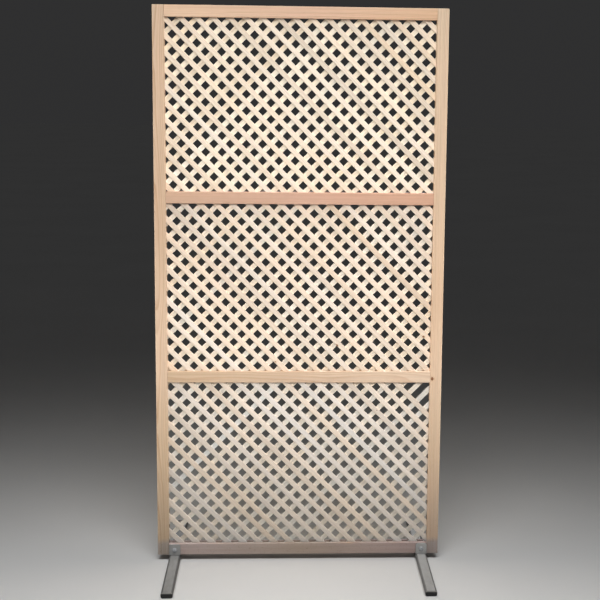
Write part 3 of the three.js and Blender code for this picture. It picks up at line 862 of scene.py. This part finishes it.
def painted_light_tone(ob, value, fall=0.0):
    """A painted light-and-shade factor for the piece: `value` paints one foot's parts darker and the other's lighter,
    as if lit differently, and the factor is darker by `fall` at the ends of a foot than at its middle.
    """
    y = np.abs(points(ob)[:, 1]) / MM / 380.0
    attribute(ob, "tone", "FLOAT", value * (1.0 - fall * y))


for side, sname in ((-1, "left"), (1, "right")):
    cx = side * FOOT_X
    # tube, 40 x 20 with 2 mm walls
    outer = round_rect(40, 20, 8, 10, hold=0.5)
    inner = round_rect(36, 16, 6, 10, hold=0.5)
    soup = Soup()
    loops = []
    for y in (-380.0, -379.6):
        loops.append([(cx + p, y, 10 + q) for p, q in (inset(outer, 0.35) if y == -380.0 else outer)])
    for i in range(1, 16):
        y = -380 + 760 * i / 16
        loops.append([(cx + p, y, 10 + q) for p, q in outer])
    for y in (379.6, 380.0):
        loops.append([(cx + p, y, 10 + q) for p, q in (inset(outer, 0.35) if y == 380.0 else outer)])
    for y in (380.0, -380.0):
        loops.append([(cx + p, y, 10 + q) for p, q in inner])
    soup.loop(loops)
    ob = soup.object(f"foot_{sname}_tube", 28.0)
    # painted light and shade: the left tube is painted darker and the right one lighter
    painted_light_tone(ob, 0.79 if side < 0 else 1.16, 0.30)
    finish_piece(ob, steel, "foot_steel", f"foot_tube_{sname}")

    # end caps
    for end, ename in ((-1, "front"), (1, "rear")):
        soup = Soup()
        rings = []
        for d, t in ((3.6, -14.0), (2.6, -12.6), (2.45, -9.0), (2.9, -8.6), (2.9, -7.4), (2.45, -7.0), (2.45, -0.2), (0.0, 0.2), (0.0, 0.7), (0.08, 1.3), (0.35, 2.0), (0.9, 2.8), (1.8, 3.55), (3.1, 4.2), (4.8, 4.65), (6.6, 4.88), (8.4, 4.98)):
            rings.append([(cx + p, end * (380.0 + t), 10 + q) for p, q in round_rect(40 - 2 * d, 20 - 2 * d, max(0.6, 8 - d), 10)])
        soup.rings(rings)
        finish_piece(soup.object(f"foot_{sname}_cap_{ename}", 40.0), plastic, "cap_plastic", f"foot_cap_{sname}_{ename}")

    # saddle
    base, top = 20.2, 61.4
    inn, out = 20.2, 23.2
    ro, ri = 4.5, 1.5

    def u_section(height):
        pts = []
        for i in range(9):
            t = math.radians(180 + 90 * i / 8)
            pts.append((-out + ro + ro * math.cos(t), base + ro + ro * math.sin(t)))
        for i in range(9):
            t = math.radians(270 + 90 * i / 8)
            pts.append((out - ro + ro * math.cos(t), base + ro + ro * math.sin(t)))
        pts += [(out, height - 0.4), (out - 0.4, height), (inn + 0.4, height), (inn, height - 0.4)]
        for i in range(5):
            t = math.radians(360 - 90 * i / 4)
            pts.append((inn - ri + ri * math.cos(t), base + 3 + ri + ri * math.sin(t)))
        for i in range(5):
            t = math.radians(270 - 90 * i / 4)
            pts.append((-inn + ri + ri * math.cos(t), base + 3 + ri + ri * math.sin(t)))
        pts += [(-inn, height - 0.4), (-inn - 0.4, height), (-out + 0.4, height), (-out, height - 0.4)]
        return pts

    soup = Soup()
    rings = []
    for x, e in ((-20.0, 0.4), (-19.6, 0), (-17.5, 0), (-15.2, 0), (-14.2, 0), (-10, 0), (0, 0), (10, 0), (14.2, 0), (15.2, 0), (17.5, 0), (19.6, 0), (20.0, 0.4)):
        drop = max(0.0, abs(x) - 15.0) + (0.12 if 14.5 < abs(x) < 16 else 0.0)
        sec = u_section(top - drop)
        if e:
            sec = inset(sec, e)
        rings.append([(cx + x, y, z) for y, z in sec])
    soup.rings(rings)
    ob = soup.object(f"foot_{sname}_saddle", 28.0)
    more = Soup()
    lathe(more, [(4.3, -30.0), (4.3, 30.0)], "y", (cx, 0.0, BOLT_Z), steps=24)
    boolean(ob, more.object("cutter"), "DIFFERENCE")
    shade(ob, 28.0)
    # painted light and shade: the saddle is painted lighter so its upright face matches the lit tube top, the left one
    # less than the right
    painted_light_tone(ob, 0.96 if side < 0 else 1.14)
    finish_piece(ob, steel, "foot_steel", f"foot_saddle_{sname}")

    # weld beads between saddle and tube
    soup = Soup()
    for k, (p0, p1) in enumerate((
            ((cx - 13.0, -21.6, 20.7), (cx + 13.0, -21.6, 20.7)), ((cx - 13.0, 21.6, 20.7), (cx + 13.0, 21.6, 20.7)),
            ((cx - 14.6, -18.0, 19.5), (cx - 14.6, 18.0, 19.5)), ((cx + 14.6, -18.0, 19.5), (cx + 14.6, 18.0, 19.5)))):
        weld(soup, p0, p1, 2.1 if k < 2 else 1.7, 0.8, 11 + k + (5 if side > 0 else 0))
    ob = soup.object(f"foot_{sname}_welds", 60.0)
    # painted shade: the left welds are painted darker, like the rest of the left foot
    painted_light_tone(ob, 0.80 if side < 0 else 1.0)
    finish_piece(ob, steel, "foot_steel")

    # bolt: cup head in front, thread showing past the nut behind
    soup = Soup()
    prof = [(0.02, -27.8), (1.2, -27.78), (2.6, -27.62), (4.2, -27.2), (5.8, -26.5), (7.2, -25.6), (8.2, -24.75), (8.8, -24.1), (9.0, -23.75), (9.0, -23.55), (8.8, -23.4), (4.0, -23.35)]
    prof += [(3.98, 31.0)]
    t = 31.2
    while t < 33.6:
        prof += [(3.98, t), (3.98, t + 0.16), (3.42, t + 0.62), (3.42, t + 0.72), (3.98, t + 1.18)]
        t += 1.25
    prof += [(3.6, 33.9), (3.1, 34.28), (0.02, 34.3)]
    prof = sorted(prof, key=lambda p: p[1])
    lathe(soup, prof, "y", (cx, 0.0, BOLT_Z), steps=40)
    finish_piece(soup.object(f"foot_{sname}_bolt", 35.0), hardware, "zinc_steel", f"foot_bolt_{sname}")

    soup = Soup()
    rings = []
    for r, y in ((4.3, 23.4), (7.7, 23.4), (8.0, 23.6), (8.0, 24.8), (7.7, 25.0), (4.3, 25.0)):
        rings.append([(cx + r * math.cos(2 * math.pi * i / 40), y, BOLT_Z + r * math.sin(2 * math.pi * i / 40)) for i in range(40)])
    soup.loop(rings)
    finish_piece(soup.object(f"foot_{sname}_washer", 35.0), hardware, "zinc_steel", f"foot_washer_{sname}")

    soup = Soup()
    flats, af, turn = 72, 13.0, 0.35 * side
    rc = af / 2 * 0.955
    y0, y1 = 25.2, 31.7
    hexr = [af / 2 / math.cos(((2 * math.pi * i / flats + math.pi / 6) % (math.pi / 3)) - math.pi / 6) for i in range(flats)]
    at = lambda r, i, y: (cx + r * math.cos(2 * math.pi * i / flats + turn), y, BOLT_Z + r * math.sin(2 * math.pi * i / flats + turn))
    rings = [
        [at(3.95, i, y0 + 0.7) for i in range(flats)], [at(4.5, i, y0) for i in range(flats)], [at(rc, i, y0) for i in range(flats)],
        [at(hexr[i], i, y0 + (hexr[i] - rc) * 0.577) for i in range(flats)], [at(hexr[i], i, y1 - (hexr[i] - rc) * 0.577) for i in range(flats)],
        [at(rc, i, y1) for i in range(flats)], [at(4.5, i, y1) for i in range(flats)], [at(3.95, i, y1 - 0.7) for i in range(flats)]]
    soup.loop(rings)
    finish_piece(soup.object(f"foot_{sname}_nut", 28.0), hardware, "zinc_steel", f"foot_nut_{sname}")


# ------------------------------------------------------------------ floor, world and lights
def floor():
    s = Shader("floor_pale")
    p = s.place()
    soft = s.noise(s.scaled(p, 1.1, 1.1, 1.1), detail=3.0)
    fine = s.noise(s.scaled(p, 60.0, 60.0, 60.0), detail=3.0)
    color = s.mix(s.span(soft, 0.3, 0.7), (0.84, 0.84, 0.83), (0.87, 0.87, 0.86))
    s.surface(color=color, rough=0.85, normal=s.bump(fine, 0.05, 0.001), specular=0.25)
    r, n = 40.0, 96
    me = bpy.data.meshes.new("floor")
    me.from_pydata([(r * math.cos(2 * math.pi * i / n), r * math.sin(2 * math.pi * i / n), 0.0) for i in range(n)], [], [tuple(range(n))])
    ob = bpy.data.objects.new("floor", me)
    bpy.context.scene.collection.objects.link(ob)
    me.materials.append(s.material)
    return ob


def world():
    w = bpy.data.worlds.new("studio")
    bpy.context.scene.world = w
    w.use_nodes = True
    t = w.node_tree
    t.nodes.clear()
    out = t.nodes.new("ShaderNodeOutputWorld")
    bg = t.nodes.new("ShaderNodeBackground")
    co = t.nodes.new("ShaderNodeTexCoord")
    sep = t.nodes.new("ShaderNodeSeparateXYZ")
    ramp = t.nodes.new("ShaderNodeValToRGB")
    t.links.new(co.outputs["Generated"], sep.inputs[0])
    t.links.new(sep.outputs["Z"], ramp.inputs[0])
    e = ramp.color_ramp.elements
    e[0].position, e[0].color = 0.0, (0.0290, 0.0290, 0.0295, 1)
    e[1].position, e[1].color = 1.0, (0.0367, 0.0367, 0.0372, 1)
    t.links.new(ramp.outputs[0], bg.inputs[0])
    bg.inputs[1].default_value = 1.0
    t.links.new(bg.outputs[0], out.inputs[0])


def softbox(name, place, aim, size, power, spread=180.0, color=(1, 1, 1)):
    data = bpy.data.lights.new(name, "AREA")
    data.shape, data.size, data.size_y = "RECTANGLE", size[0], size[1]
    data.energy, data.color = power, color
    data.spread = math.radians(spread)
    ob = bpy.data.objects.new(name, data)
    bpy.context.scene.collection.objects.link(ob)
    ob.location = place
    ob.rotation_euler = (Vector(aim) - Vector(place)).to_track_quat("-Z", "Y").to_euler()
    ob.visible_camera = False
    return ob


def link(lamp, ob, state):
    """Lights everything but ob, or nothing but ob."""
    group = bpy.data.collections.new(lamp.name + "_link")
    group.objects.link(ob)
    for entry in group.collection_objects:
        entry.light_linking.link_state = state
    lamp.light_linking.receiver_collection = group


ground = floor()
world()
key = softbox("key", (0.25, -2.5, 2.75), (0.0, 0.0, 1.42), (2.0, 2.1), 10.2, spread=28.0)
top = softbox("front_top", (0.0, -0.60, 2.45), (0.0, -0.35, 0.0), (3.0, 0.8), 10.0, spread=60.0)
wash = softbox("floor_wash", (-0.1, -2.4, 3.2), (-0.1, -0.8, 0.0), (3.4, 1.2), 22.0, spread=68.0)
left = softbox("side_left", (-3.0, -0.5, 1.2), (0.0, -0.1, 1.12), (0.8, 1.9), 3.6, spread=28.0)
right = softbox("side_right", (3.0, -0.5, 1.2), (0.0, -0.1, 1.12), (0.8, 1.9), 3.6, spread=28.0)
rear = softbox("rear", (0.2, 2.6, 2.5), (0.0, 0.0, 0.92), (1.7, 1.4), 8.5, spread=46.0)
# the floor has a light of its own, so that the ones on the screen don't spill over it
for lamp in (key, top, left, right, rear):
    link(lamp, ground, "EXCLUDE")
link(wash, ground, "INCLUDE")

bpy.context.scene.view_settings.view_transform = "Standard"
